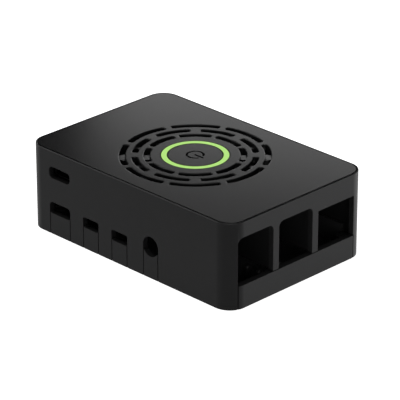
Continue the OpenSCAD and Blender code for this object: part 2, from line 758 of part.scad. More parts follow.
// Lights standing on the button board, under the ring
module ring_lights() color("#e8f0d8") {
    for (i = [0 : led_count - 1]) rotate([0, 0, (i + 0.5) * 360 / led_count])
        translate([led_ring_r, 0, disc_top + led_h / 2]) cube([led_w, led_w, led_h], center = true);
}

// Small screws of the button board
module button_board_screws() color("#9a9a9c") {
    for (a = disc_screw_at) rotate([0, 0, a]) translate([disc_screw_r, 0, disc_low])
        screw(small_screw_r, small_screw_l, small_head_r, small_head_h);
}

// Power board, cut back round the fan's air
module power_board() color("#16301f") translate([0, 0, pcb_low]) difference() {
    linear_extrude(pcb_t) difference() {
        translate([pcb_x0, -pcb_y1]) square([pcb_end_x - pcb_x0, 2 * pcb_y1]);
        circle(air_r);
        for (s = [-1, 1]) translate([-corner_x - peg_out, s * (corner_y + peg_out)])
            square(2 * (peg_boss_r + pcb_gap), center = true);
    }
    for (p = pcb_screws) translate([p[0], p[1], -over])
        cylinder(r = small_screw_r + screw_fit, h = pcb_t + 2 * over);
}

// Outline of the power inlet, with round sides
module inlet_shape(grow) {
    w = inlet_w + 2 * grow;
    h = inlet_h + 2 * grow;
    square([w - h, h], center = true);
    for (s = [-1, 1]) translate([s * (w - h) / 2, 0]) circle(h / 2);
}

// Metal shell of the power inlet, behind the upper slot
module power_inlet() color("#4a4a4e") translate([power_cx, inlet_y, upper_slot_z]) rotate([-90, 0, 0]) difference() {
    linear_extrude(inlet_d) inlet_shape(0);
    translate([0, 0, -over]) linear_extrude(inlet_d - 2 * inlet_t + over) inlet_shape(-inlet_t);
}

// Contact tongue inside the power inlet
module inlet_tongue() color("#202022") {
    tongue_w = inlet_w - inlet_h + inlet_t;
    tongue_l = inlet_d - 2 * inlet_t - tongue_back;
    translate([power_cx - tongue_w / 2, inlet_y + tongue_back, upper_slot_z - inlet_t])
        cube([tongue_w, tongue_l, 2 * inlet_t]);
}

// A block under the power board
module hang(x, y, size) {
    translate([x - size[0] / 2, y - size[1] / 2, pcb_low - size[2]]) cube(size);
}

// Chips and coil under the power board
module board_chips() color("#262628") {
    chip_x = pcb_x0 + coil_w;
    hang(chip_x, lead_y - chip_w / 2, [chip_w, chip_w, chip_h]);
    hang(chip_x, -lead_y, [chip_w, chip_w, 1.5 * chip_h]);
    hang(chip_x - coil_h, -chip_w, [chip_w / 2, chip_w, chip_h]);
    hang(chip_x + coil_h, coil_w / 2, [coil_w, coil_w, coil_h]);
}

// Tall socket that plugs onto the computer board's header
module header_socket() color("#161617") difference() {
    pin_w = 0.9;
    pin_depth = 6.5;
    translate([socket_x - pin_cols * pin_pitch / 2, socket_y - pin_pitch, socket_low])
        cube([pin_cols * pin_pitch, 2 * pin_pitch, pcb_low - socket_low]);
    for (i = [0 : pin_cols - 1]) for (s = [-1, 1])
        translate([socket_x + (i - (pin_cols - 1) / 2) * pin_pitch, socket_y + s * pin_pitch / 2, socket_low])
            cube([pin_w, pin_w, 2 * pin_depth], center = true);
}

// Small screws of the power board
module power_board_screws() color("#9a9a9c") {
    for (p = pcb_screws) translate([p[0], p[1], pcb_low])
        screw(small_screw_r, small_screw_l, small_head_r, small_head_h);
}

// Square frame of the fan with its motor plate and bearing tube
module fan_frame() color("#18181a") {
    strut_w = 2.4;
    strut_t = fan_plate_t;
    corner = 2.5;
    translate([0, 0, fan_low]) linear_extrude(fan_t) difference() {
        round_rect(fan_w, fan_w, corner);
        circle(fan_bore_r);
        for (p = fan_at) translate(p) circle(fan_hole_r);
    }
    translate([0, 0, fan_low]) cylinder(r = hub_r, h = fan_plate_t);
    for (a = [0, 90, 180, 270]) rotate([0, 0, a]) translate([hub_r - 1, -strut_w / 2, fan_low])
        cube([fan_bore_r - hub_r + 1.5, strut_w, strut_t]);
    translate([0, 0, fan_low + fan_plate_t - eps]) difference() {
        cylinder(r = tube_r, h = bearing_top - bearing_low + eps);
        translate([0, 0, eps]) cylinder(r = bearing_r + screw_fit, h = bearing_top);
    }
}

// Hub and blades of the fan
module fan_rotor() color("#202022") {
    span = blade_r - hub_r;
    mid = (hub_top + hub_low) / 2;
    difference() {
        translate([0, 0, hub_low]) cylinder(r = hub_r, h = hub_top - hub_low);
        translate([0, 0, hub_low - over]) cylinder(r = hub_in_r, h = hub_top - hub_low - hub_t + over);
        translate([0, 0, hub_low]) cylinder(r = shaft_r, h = hub_top - hub_low - hub_t / 2);
    }
    intersection() {
        difference() {
            translate([0, 0, hub_low - over]) cylinder(r = blade_r, h = fan_t);
            translate([0, 0, hub_low - 2 * over]) cylinder(r = hub_r - hub_t / 2, h = fan_t + 2 * over);
        }
        union() for (i = [0 : blades - 1]) rotate([0, 0, i * 360 / blades]) translate([hub_in_r, 0, mid])
            rotate([blade_pitch, 0, 0]) translate([0, -blade_chord / 2, -blade_t / 2])
                cube([span + 2 * hub_t, blade_chord, blade_t]);
    }
}

// Steel shaft pressed into the hub
module fan_shaft() color("#c4c6c8") {
    translate([0, 0, shaft_low]) cylinder(r = shaft_r, h = hub_top - hub_t / 2 - shaft_low);
}

// Sleeve bearing in the frame's tube
module fan_bearing() color("#b08d4c") translate([0, 0, bearing_low]) difference() {
    length = bearing_top - bearing_low - bearing_floor;
    cylinder(r = bearing_r, h = length);
    translate([0, 0, bearing_floor]) cylinder(r = shaft_r + shaft_fit, h = length);
}

// Ring magnet inside the hub
module fan_magnet() color("#3c3a38") translate([0, 0, hub_low]) difference() {
    cylinder(r = magnet_r, h = hub_top - hub_t - hub_low);
    translate([0, 0, -over]) cylinder(r = magnet_r - magnet_t, h = fan_t);
}

// Four wound poles round the bearing tube
module fan_stator() color("#a8642a") translate([0, 0, stator_low]) difference() {
    pole_w = 3;
    shoe_t = 1;
    h = stator_top - stator_low;
    union() {
        cylinder(r = tube_r + stator_core, h = h);
        intersection() {
            union() for (a = [0, 90]) rotate([0, 0, a]) translate([-stator_r, -pole_w / 2, 0])
                cube([2 * stator_r, pole_w, h]);
            cylinder(r = stator_r, h = h);
        }
        difference() {
            cylinder(r = stator_r, h = h);
            translate([0, 0, -over]) cylinder(r = stator_r - shoe_t, h = h + 2 * over);
            for (a = [45, 135]) rotate([0, 0, a]) translate([0, 0, h / 2])
                cube([4 * stator_r, pole_w, 2 * h], center = true);
        }
    }
    translate([0, 0, -over]) cylinder(r = tube_r + screw_fit, h = h + 2 * over);
}

// Small round circuit on the fan's motor plate
module fan_circuit() color("#16301f") translate([0, 0, bearing_low]) difference() {
    cylinder(r = stator_r + coil_gap, h = circuit_t);
    translate([0, 0, -over]) cylinder(r = tube_r + screw_fit, h = 3 * over);
}

// Screws that hold the fan up to the lid's bosses
module fan_screws() color("#9a9a9c") {
    for (p = fan_at) translate([p[0], p[1], fan_low])
        screw(fan_screw_r, fan_t + fan_screw_bite, fan_head_r, fan_head_h);
}

// Round tube swept along a route in a plane of constant y
module flat_tube(route, y, d) {
    sides = 8;
    n = len(route);
    function dir(i) = let (v = route[min(i + 1, n - 1)] - route[max(i - 1, 0)]) v / norm(v);
    function ends(i) = (i == 0 || i == n - 1) ? [1, 0] * sign(route[n - 1][0] - route[0][0]) : dir(i);
    points = [for (i = [0 : n - 1]) let (t = ends(i)) for (k = [0 : sides - 1])
        let (a = 360 * k / sides, u = d / 2 * cos(a), v = d / 2 * sin(a))
            [route[i][0] - t[1] * v, y + u, route[i][1] + t[0] * v]];
    sides_faces = [for (i = [0 : n - 2]) for (k = [0 : sides - 1])
        let (a = i * sides + k, b = i * sides + (k + 1) % sides) each [[a, b, b + sides], [a, b + sides, a + sides]]];
    caps = [[for (k = [sides - 1 : -1 : 0]) k], [for (k = [0 : sides - 1]) (n - 1) * sides + k]];
    polyhedron(points, concat(sides_faces, caps));
}

// Lead from the fan to its plug
module fan_lead() color("#101011") {
    flat_tube(lead_route, lead_y, lead_d);
}

// Plug and socket of the fan's lead, under the power board
module fan_plug() color("#d8d4c8") {
    translate([plug_x - plug_d / 2, lead_y - plug_w / 2, pcb_low - plug_h]) cube([plug_d, plug_w, plug_h]);
}

// Sockets of the ribbon, one on each board
module link_sockets() color("#c8c4b8") {
    for (p = [[link_disc_x, disc_top], [link_pcb_x, pcb_top]])
        translate([p[0] - link_socket_d / 2, -link_w / 2 - link_side, p[1]])
            cube([link_socket_d, link_w + 2 * link_side, link_socket_h]);
}

// Flat ribbon from the button board to the power board
module link_ribbon() color("#3c3e44") {
    a = [link_disc_x - link_socket_d / 2, disc_top + link_socket_h / 2];
    b = [link_pcb_x + link_socket_d / 2, pcb_top + link_socket_h / 2];
    translate([0, link_w / 2, 0]) rotate([90, 0, 0]) linear_extrude(link_w)
        polygon([[a[0], a[1] - link_t / 2], [a[0], a[1] + link_t / 2], [b[0], b[1] + link_t / 2], [b[0], b[1] - link_t / 2]]);
}

// Screws that hold the base to the shell, from below
module case_screws() color("#8c8c8e") {
    for (b = boss_at) translate([b[0], b[1] * boss_y, head_h])
        screw(screw_r, boss_top - head_h - screw_fit, head_r, head_h);
}

base_tray();
body_shell();
top_cover();
light_ring();
power_button();
switch_plunger();
switch_body();
switch_dome();
button_board();
ring_lights();
button_board_screws();
power_board();
power_inlet();
inlet_tongue();
board_chips();
header_socket();
power_board_screws();
fan_frame();
fan_rotor();
fan_shaft();
fan_bearing();
fan_magnet();
fan_stator();
fan_circuit();
fan_screws();
fan_lead();
fan_plug();
link_ribbon();
link_sockets();
case_screws();
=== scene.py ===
"""Looks of the enclosure for a small single board computer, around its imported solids.

Lengths are metres in the frame of the solids: +X is the long axis towards the
network end, -Y is the long side with the power port, +Z is up.
"""

import json
import math

import bmesh
import bpy
from mathutils import Matrix, Vector


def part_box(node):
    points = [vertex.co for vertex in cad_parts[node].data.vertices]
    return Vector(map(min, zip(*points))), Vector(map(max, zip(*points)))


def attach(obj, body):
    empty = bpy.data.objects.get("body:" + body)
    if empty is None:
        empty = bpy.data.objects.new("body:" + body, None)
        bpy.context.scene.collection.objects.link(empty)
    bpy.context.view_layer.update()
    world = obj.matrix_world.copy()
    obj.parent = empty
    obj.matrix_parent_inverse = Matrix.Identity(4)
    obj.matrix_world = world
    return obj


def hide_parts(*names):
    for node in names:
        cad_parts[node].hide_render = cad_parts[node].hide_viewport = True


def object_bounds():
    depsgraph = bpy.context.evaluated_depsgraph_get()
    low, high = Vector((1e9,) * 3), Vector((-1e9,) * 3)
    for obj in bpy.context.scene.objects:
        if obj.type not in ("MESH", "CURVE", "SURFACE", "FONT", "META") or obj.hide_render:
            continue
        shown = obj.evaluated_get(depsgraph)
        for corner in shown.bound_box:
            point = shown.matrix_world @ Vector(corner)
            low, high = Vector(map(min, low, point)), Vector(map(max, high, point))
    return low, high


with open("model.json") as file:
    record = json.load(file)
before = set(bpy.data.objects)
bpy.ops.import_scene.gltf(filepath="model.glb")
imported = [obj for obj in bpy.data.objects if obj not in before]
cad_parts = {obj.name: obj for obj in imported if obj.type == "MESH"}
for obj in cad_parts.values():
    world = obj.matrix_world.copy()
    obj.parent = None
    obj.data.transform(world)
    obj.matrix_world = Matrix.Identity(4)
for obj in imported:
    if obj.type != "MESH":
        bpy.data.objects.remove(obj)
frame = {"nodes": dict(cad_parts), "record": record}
CAD_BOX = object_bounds()
TOP = CAD_BOX[1][2]
MM = 0.001
NODES = frame["nodes"]
RECORD = frame["record"]
BODY = {n: body for body, names in RECORD["behaviour"]["bodies"].items() for n in names}
SLOT = {s["node"]: s["material_slot"] for s in RECORD["subparts"]}
UP = Vector((0, 0, 1))
scene = bpy.context.scene


# Materials

# Period of the wave texture's bands at a scale of one
WAVE = math.pi / 10
TIN = (0.55, 0.53, 0.46)


class Shader:
    """A Principled material with short ways to add nodes to it."""

    def __init__(self, name, rough, level=0.5, metal=0.0):
        self.material = bpy.data.materials.new(name)
        self.material.use_nodes = True
        self.tree = self.material.node_tree
        self.bsdf = self.tree.nodes["Principled BSDF"]
        self.set("Roughness", rough)
        self.set("Specular IOR Level", level)
        self.set("Metallic", metal)
        self.place = self.add("ShaderNodeTexCoord").outputs["Object"]

    def set(self, socket, value):
        self.bsdf.inputs[socket].default_value = value

    def add(self, kind, **inputs):
        node = self.tree.nodes.new(kind)
        for name, value in inputs.items():
            node.inputs[name.replace("_", " ")].default_value = value
        return node

    def join(self, out, to):
        self.tree.links.new(out, to)

    def into(self, out, socket):
        self.join(out, self.bsdf.inputs[socket])

    def stretched(self, stretch):
        if stretch is None:
            return self.place
        node = self.add("ShaderNodeMapping", Scale=stretch)
        self.join(self.place, node.inputs["Vector"])
        return node.outputs["Vector"]

    def pattern(self, kind, output, stretch=None, **inputs):
        node = self.add(kind, **inputs)
        self.join(self.stretched(stretch), node.inputs["Vector"])
        return node.outputs[output]

    def noise(self, size, detail=2.0, stretch=None):
        """Noise whose blotches are about size metres across, stretched along each axis."""
        return self.pattern("ShaderNodeTexNoise", "Fac", stretch, Scale=1 / size, Detail=detail)

    def radius(self):
        """Distance from the button's axis."""
        node = self.add("ShaderNodeVectorMath")
        node.operation = "LENGTH"
        self.join(self.stretched((1, 1, 0)), node.inputs[0])
        return node.outputs["Value"]

    def span(self, value, low, high, start=0.0, end=1.0):
        """Goes from low to high as the value goes from start to end."""
        node = self.add("ShaderNodeMapRange", From_Min=start, From_Max=end,
                        To_Min=low, To_Max=high)
        self.join(value, node.inputs["Value"])
        return node.outputs["Result"]

    def math(self, kind, a, b):
        node = self.add("ShaderNodeMath")
        node.operation = kind
        for socket, value in zip(node.inputs, (a, b)):
            if isinstance(value, (int, float)):
                socket.default_value = value
            else:
                self.join(value, socket)
        return node.outputs["Value"]

    def tint(self, value, low, high):
        """Colour between low and high, which are colours or sockets, by value."""
        node = self.add("ShaderNodeMix")
        node.data_type = "RGBA"
        ends = (s for s in node.inputs if s.type == "RGBA")
        for socket, colour in zip(ends, (low, high)):
            if isinstance(colour, tuple):
                socket.default_value = (*colour, 1)
            else:
                self.join(colour, socket)
        self.join(value, node.inputs["Factor"])
        return next(s for s in node.outputs if s.type == "RGBA")

    def relief(self, height, depth):
        node = self.add("ShaderNodeBump", Distance=depth)
        self.join(height, node.inputs["Height"])
        self.into(node.outputs["Normal"], "Normal")


def scaled(colour, k):
    return tuple(min(1.0, k * c) for c in colour)


def moulded(name, colour, rough, level, grain=0.35 * MM, depth=0.006 * MM, sheen=0.015):
    """Moulded plastic: a fine spark grain, slow changes of sheen, faint mottling."""
    s = Shader(name, rough, level)
    s.into(s.tint(s.noise(4 * MM, 4), scaled(colour, 0.9), scaled(colour, 1.1)), "Base Color")
    s.into(s.span(s.noise(12 * MM, 1), rough - sheen, rough + sheen), "Roughness")
    s.relief(s.noise(grain, 2), depth)
    return s


def brushed(name, colour, rough, stretch=(1, 1, 0.1)):
    """Metal with fine streaks along an axis."""
    s = Shader(name, rough, 0.5, 1.0)
    streaks = s.noise(0.12 * MM, 3, stretch)
    s.into(s.tint(streaks, scaled(colour, 0.8), scaled(colour, 1.15)), "Base Color")
    s.into(s.span(streaks, rough - 0.08, rough + 0.12), "Roughness")
    s.relief(streaks, 0.004 * MM)
    return s


def sintered(name, colour, rough, metal):
    """Pressed powder: fine pores and a mottled tone."""
    s = Shader(name, rough, 0.5, metal)
    pores = s.noise(0.15 * MM, 4)
    s.into(s.tint(pores, scaled(colour, 0.6), scaled(colour, 1.2)), "Base Color")
    s.into(s.span(s.noise(1.5 * MM), rough - 0.1, rough + 0.1), "Roughness")
    s.relief(pores, 0.02 * MM)
    return s


def wound(name, colour, rough, turn=0.3 * MM):
    """Enamelled wire wound in level turns."""
    s = Shader(name, rough, 0.5, 1.0)
    node = s.add("ShaderNodeTexWave", Scale=WAVE / turn)
    node.bands_direction = "Z"
    s.join(s.place, node.inputs["Vector"])
    turns = node.outputs["Fac"]
    # The colour darkens into the grooves between the turns: painted shade
    s.into(s.tint(turns, scaled(colour, 0.35), scaled(colour, 1.15)), "Base Color")
    s.into(s.span(s.noise(0.8 * MM), rough - 0.08, rough + 0.08), "Roughness")
    s.relief(turns, 0.05 * MM)
    return s


def circuit(name, colour, track=1.3 * MM, pad=2.4 * MM):
    """Lacquered board: raised tracks under the lacquer and tinned pads."""
    s = Shader(name, 0.32, 0.5)
    tracks = s.pattern("ShaderNodeTexBrick", "Fac", Scale=1 / (4 * track), Mortar_Size=0.035,
                       Mortar_Smooth=0.3, Brick_Width=1.7, Row_Height=0.25)
    spots = s.pattern("ShaderNodeTexVoronoi", "Distance", Scale=1 / pad)
    pads = s.math("LESS_THAN", spots, 0.16)
    lacquer = s.tint(s.noise(5 * MM, 3), scaled(colour, 0.85), scaled(colour, 1.15))
    board = s.tint(tracks, lacquer, scaled(colour, 2.2))
    s.into(s.tint(pads, board, TIN), "Base Color")
    s.into(pads, "Metallic")
    s.relief(s.math("MAXIMUM", tracks, pads), 0.03 * MM)
    return s


def lit(name, colour, glow, inner, outer, fade):
    """Translucent plastic lit from below. Its glow fades at its edges, and its colour is
    painted dark there as painted shade of the gaps beside it.
    """
    s = Shader(name, 0.4, 0.3)
    r = s.radius()
    from_inner = s.span(r, 0, 1, inner, inner + fade)
    from_outer = s.span(r, 0, 1, outer, outer - fade)
    light = s.math("MULTIPLY", from_inner, from_outer)
    cloud = s.tint(s.noise(3 * MM, 3), scaled(colour, 0.95), scaled(colour, 1.05))
    # Painted shade: the colour darkens towards both edges of the ring
    s.into(s.tint(light, scaled(colour, 0.06), cloud), "Base Color")
    s.set("Emission Color", (*glow, 1))
    s.into(light, "Emission Strength")
    s.relief(s.noise(0.35 * MM), 0.004 * MM)
    return s


# The button and the ring are held by flanges wider than what shows of them
BUTTON_FLANGE = 0.6 * MM
GLOW_FLANGE = 0.8 * MM
BUTTON_GAP = 0.35 * MM
GLOW_GAP = 0.3 * MM
GLOW_FADE = 0.1 * MM
BUTTON_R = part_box("power_button")[1][0] - BUTTON_FLANGE
GLOW_IN = BUTTON_R + BUTTON_GAP
GLOW_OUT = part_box("light_ring")[1][0] - GLOW_FLANGE
BLACK = (0.009, 0.009, 0.0093)

MATERIAL = {
    "case_black": moulded("case_plastic", (0.0132, 0.0132, 0.0136), 0.5, 0.1),
    "lid_black": moulded("lid_plastic", BLACK, 0.26, 0.2),
    "button_black": moulded("button_plastic", BLACK, 0.26, 0.2),
    "inner_black": moulded("inner_plastic", (0.01, 0.01, 0.0105), 0.5, 0.2),
    "fan_black": moulded("fan_plastic", (0.01, 0.01, 0.0105), 0.45, 0.2),
    "chip_black": moulded("chip_epoxy", (0.02, 0.02, 0.021), 0.55, 0.3, 0.1 * MM, 0.01 * MM),
    "green_light": lit("lit_ring", (0.32, 0.64, 0.12), (0.24, 0.4, 0.1),
                       GLOW_IN, GLOW_OUT, GLOW_FADE),
    "lamp_white": moulded("lamp_lens", (0.8, 0.82, 0.7), 0.3, 0.5, 1.2 * MM),
    "circuit_green": circuit("circuit_lacquer", (0.012, 0.05, 0.022)),
    "plug_cream": moulded("plug_nylon", (0.65, 0.6, 0.48), 0.45, 0.4),
    "ribbon_grey": moulded("ribbon_sheath", (0.12, 0.12, 0.13), 0.4, 0.4),
    "cable_black": moulded("cable_sheath", (0.015, 0.015, 0.016), 0.45, 0.4, 0.2 * MM),
    "bright_steel": brushed("bright_steel", (0.6, 0.6, 0.61), 0.25),
    "dark_steel": brushed("dark_steel", (0.012, 0.012, 0.0132), 0.5, (0.1, 1, 1)),
    "screw_steel": brushed("screw_steel", (0.4, 0.4, 0.41), 0.3),
    "magnet_grey": sintered("magnet_ferrite", (0.08, 0.08, 0.08), 0.55, 0.0),
    "copper_wire": wound("copper_turns", (0.55, 0.25, 0.1), 0.35),
    "bearing_brass": sintered("bearing_bronze", (0.6, 0.45, 0.2), 0.4, 1.0),
}
# Dark finish of the button's sign, also used as painted shade on the lid's outer edge and on
# one corner of the rim
SIGN_AND_SHADE = moulded("sign_and_painted_shade", (0.003, 0.003, 0.003), 0.6, 0.05)
SPOKE = moulded("spoke_plastic", BLACK, 0.26, 0.4)
# Lighter plastic for the sides of the end openings: painted light, standing in for the light
# that reaches them
JAMB_LIGHT_PAINT = moulded("jamb_painted_light", (0.023, 0.023, 0.0235), 0.5, 0.1)
# Lighter, glossier plastic for the inside of the base: painted light, standing in for the light
# that comes in through the openings
TRAY_LIGHT_PAINT = moulded("tray_painted_light", (0.035, 0.035, 0.0355), 0.35, 0.4)
RIM = moulded("rim_plastic", BLACK, 0.2, 0.35)


# Pieces from the solids

# Points closer than this are one point
JOIN = 0.026 * MM
# Edges shorter than this are no edges
NO_LENGTH = 1e-7
FLAT = math.radians(0.6)
SHARP = math.radians(30)
CREASE = math.radians(40)
# Parts of a face's normal along an axis: level, nearly level, and across the axis
LEVEL = 0.9999
NEAR_LEVEL = 0.9
ACROSS = 0.5
HAIR = 0.05 * MM
BEVEL_STEPS = 2
ROUND_STEPS = 4
LARGE_FACE_WEIGHT = 90


def cleaned(node):
    """A node's shape with its points joined and its flat faces whole."""
    bm = bmesh.new()
    bm.from_mesh(NODES[node].data)
    bmesh.ops.remove_doubles(bm, verts=bm.verts, dist=JOIN)
    bmesh.ops.dissolve_degenerate(bm, dist=NO_LENGTH, edges=bm.edges)
    bmesh.ops.dissolve_limit(bm, angle_limit=FLAT, verts=bm.verts, edges=bm.edges)
    return bm


def sharp_edges(bm, test):
    """Edges of a solid that turn sharply and whose two points pass a test."""
    return [e for e in bm.edges if len(e.link_faces) == 2 and e.calc_face_angle(0) > SHARP
            and all(test(v.co) for v in e.verts)]


def bevelled(bm, edges, width):
    bmesh.ops.bevel(bm, geom=edges, offset=width, offset_type="OFFSET", segments=BEVEL_STEPS,
                    profile=0.5, affect="EDGES", clamp_overlap=False, miter_outer="ARC")


def rounded_over(bm, edges, radius):
    """Rounds closed loops of edges between a level face and the upright walls below it.

    The face draws back by the radius, the walls come down by it, and rows of faces run
    round the quarter circle between them."""
    points = dict.fromkeys(v for e in edges for v in e.verts)
    walls = dict.fromkeys(f for v in points for f in v.link_faces if abs(f.normal.z) < ACROSS)
    rows = {}
    for v in points:
        sides = [f.normal for f in v.link_faces if f in walls]
        out = -sum(sides, Vector()) / len(sides)
        out = radius * out / out.length_squared
        rows[v] = [v]
        for k in range(1, ROUND_STEPS + 1):
            a = math.pi / 2 * (1 + k / ROUND_STEPS)
            place = v.co + (1 + math.cos(a)) * out + (math.sin(a) - 1) * radius * UP
            rows[v].append(bm.verts.new(place))
        v.co += out
    for wall in walls:
        face = bm.faces.new([rows[v][-1] if v in rows else v for v in wall.verts])
        face.material_index = wall.material_index
    for edge in edges:
        one, two = (rows[v] for v in edge.verts)
        for k in range(ROUND_STEPS):
            bm.faces.new((one[k], two[k], two[k + 1], one[k + 1]))
    bmesh.ops.delete(bm, geom=list(walls), context="FACES_ONLY")


def shown(name, bm, node, finishes):
    """An object from a mesh that moves with a node's body and stands for the node."""
    bmesh.ops.recalc_face_normals(bm, faces=bm.faces)
    mesh = bpy.data.meshes.new(name)
    bm.to_mesh(mesh)
    bm.free()
    for finish in finishes:
        mesh.materials.append(finish.material)
    mesh.shade_smooth()
    mesh.set_sharp_from_angle(angle=CREASE)
    for face in mesh.polygons:
        face.use_smooth = abs(face.normal.z) < LEVEL
    piece = bpy.data.objects.new(name, mesh)
    scene.collection.objects.link(piece)
    weigh = piece.modifiers.new("weigh", "WEIGHTED_NORMAL")
    weigh.keep_sharp = True
    weigh.weight = LARGE_FACE_WEIGHT
    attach(piece, BODY[node])
    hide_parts(node)
    return piece


def softened(node, width, keep=None, other=(), over=None, paint=()):
    """A piece with a node's shape and its sharp edges rounded to a width.

    keep picks the points between which edges stay sharp. other gives tests of points
    and the widths for the edges between those, over a test and the radius for edges that
    are rounded over, and paint tests of faces and the finishes of those they pick."""
    bm = cleaned(node)
    if over:
        rounded_over(bm, sharp_edges(bm, over[0]), over[1])
    for test, size in other:
        bevelled(bm, sharp_edges(bm, test), size)
    tests = [test for test, size in other] + ([keep] if keep else [])
    done = {e for test in tests for e in sharp_edges(bm, test)}
    bevelled(bm, [e for e in sharp_edges(bm, lambda p: True) if e not in done], width)
    bm.normal_update()
    for face in bm.faces:
        picked = (i + 1 for i, (test, finish) in enumerate(paint) if test(face))
        face.material_index = next(picked, 0)
    finishes = [MATERIAL[SLOT[node]]] + [finish for test, finish in paint]
    return shown(node + "_piece", bm, node, finishes)


BUTTON_FACE_SHARE = 0.7
GRILLE_R = 26 * MM
GLOW_HOLE_R = GLOW_OUT + GLOW_GAP
RIM_DEPTH = 0.27 * MM
RIM_INNER = 0.2 * MM
LID_EDGE = 0.15 * MM
SLOT_EDGE = 0.35 * MM
SPOKE_DROP = 1 * MM
LID_T = 2 * MM
WALL_T = 2 * MM
FLOOR_T = 2 * MM
# From the outer faces in to just past the base's own rim
TRAY_IN = 2.5 * MM
# Radius of the case's upright corners
CORNER = 6.25 * MM
# Bounds of the openings in the network end
PORTS_HALF = 27.5 * MM
PORTS_LOW = 7 * MM
PORTS_TOP = 26 * MM


def from_axis(p):
    return math.hypot(p.x, p.y)


def at_top(p):
    return p.z > TOP - HAIR


def in_grille(p):
    return from_axis(p) < GRILLE_R


def on_slot_edge(p):
    return at_top(p) and GLOW_HOLE_R + HAIR < from_axis(p) < GRILLE_R


def on_lid_edge(p):
    return at_top(p) and not in_grille(p)


def lid_edge_face(face):
    """The rounded outer edge of the lid, painted dark as painted shade of the gap round the
    lid.
    """
    low = min(v.co.z for v in face.verts)
    return (not in_grille(face.verts[0].co) and face.normal.z < LEVEL
            and low > TOP - 2 * LID_EDGE)


def on_spoke(face):
    """Upper faces of the sunken spokes in the grille."""
    drop = TOP - face.calc_center_median().z
    return face.normal.z > NEAR_LEVEL and abs(drop - SPOKE_DROP) < HAIR


def under_lid(face):
    """Faces of the lid below its plate."""
    return face.calc_center_median().z < TOP - LID_T - HAIR


def on_rim(face):
    """The rounded top edge of the walls, and the narrow flat inside it."""
    return face.calc_center_median().z > TOP - RIM_DEPTH


def on_far_corner(face):
    """Rim at the corner that the light from the right would glint on, painted dark there as
    painted shade that hides the glint.
    """
    middle = face.calc_center_median()
    return on_rim(face) and all(middle[i] > CAD_BOX[1][i] - CORNER for i in (0, 1))


def in_end_wall(face):
    """Sides of the openings in the network end, through the wall's thickness, painted lighter
    as painted light.
    """
    middle = face.calc_center_median()
    return (abs(face.normal.x) < ACROSS and middle.x > CAD_BOX[1][0] - WALL_T
            and abs(middle.y) < PORTS_HALF and PORTS_LOW < middle.z < PORTS_TOP)


def in_tray(face):
    """Faces of the base that show only from inside, painted lighter as painted light."""
    middle = face.calc_center_median()
    return (face.normal.z > -ACROSS and middle.z > FLOOR_T - HAIR
            and all(abs(middle[i]) < CAD_BOX[1][i] - TRAY_IN for i in (0, 1)))


def in_sign(face):
    """The walls and floor of the sign cut into the button."""
    return all(from_axis(v.co) < BUTTON_R / 2 and v.co.z < TOP - HAIR for v in face.verts)


def in_button_face(p):
    return from_axis(p) < BUTTON_FACE_SHARE * BUTTON_R


softened("body_shell", HAIR, other=[(at_top, RIM_INNER)],
         paint=[(on_far_corner, SIGN_AND_SHADE), (on_rim, RIM), (in_end_wall, JAMB_LIGHT_PAINT)])
softened("base_tray", HAIR, paint=[(in_tray, TRAY_LIGHT_PAINT)])
softened("top_cover", HAIR, keep=in_grille, other=[(on_lid_edge, LID_EDGE)],
         over=(on_slot_edge, SLOT_EDGE),
         paint=[(on_spoke, SPOKE), (lid_edge_face, SIGN_AND_SHADE), (under_lid, MATERIAL["inner_black"])])
softened("light_ring", HAIR)
softened("power_button", HAIR, keep=in_button_face, paint=[(in_sign, SIGN_AND_SHADE)])


# Cables inside

TUBE_SIDES = 10


def swept(bm, points, outline):
    """A closed sweep of an outline, given in the sideways and upward axes, along points."""
    rings = []
    for i, point in enumerate(points):
        along = (points[min(i + 1, len(points) - 1)] - points[max(i - 1, 0)]).normalized()
        across = along.cross(UP).normalized()
        over = across.cross(along)
        rings.append([bm.verts.new(point + u * across + v * over) for u, v in outline])
    count = len(outline)
    for one, two in zip(rings, rings[1:]):
        for k in range(count):
            bm.faces.new((one[k], one[(k + 1) % count], two[(k + 1) % count], two[k]))
    bm.faces.new(rings[0])
    bm.faces.new(rings[-1])


def circle(radius):
    turns = [math.tau * k / TUBE_SIDES for k in range(TUBE_SIDES)]
    return [(radius * math.cos(a), radius * math.sin(a)) for a in turns]


LEAD_WIRES = 3
LEAD_POINTS = 48
LEAD_TURNS = 2.5
LEAD_LEVEL = 0.15
LEAD_D = 1.6 * MM
WIRE_SHARE = 0.46


def lead_rise(u):
    """Height along the fan's lead: level at both ends, one soft rise between them."""
    t = max(0.0, min(1.0, (u - LEAD_LEVEL) / (1 - 2 * LEAD_LEVEL)))
    return t * t * (3 - 2 * t)


def twisted_lead():
    """The fan's lead as wires twisted round each other."""
    low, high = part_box("fan_lead")
    wire_r = WIRE_SHARE * LEAD_D / 2
    lay_r = LEAD_D / 2 - wire_r
    bm = bmesh.new()
    for wire in range(LEAD_WIRES):
        route = []
        for i in range(LEAD_POINTS + 1):
            u = i / LEAD_POINTS
            turn = math.tau * (LEAD_TURNS * u + wire / LEAD_WIRES)
            height = low.z + LEAD_D / 2 + lead_rise(u) * (high.z - low.z - LEAD_D)
            middle = Vector((high.x + u * (low.x - high.x), (low.y + high.y) / 2, height))
            route.append(middle + lay_r * Vector((0, math.cos(turn), math.sin(turn))))
        swept(bm, route, circle(wire_r))
    return shown("fan_lead_wires", bm, "fan_lead", [MATERIAL[SLOT["fan_lead"]]])


RIBBON_CORES = 6
CORE_STEPS = 8
RIBBON_POINTS = 14
RIBBON_T = 0.6 * MM
RIBBON_WEB = 0.25


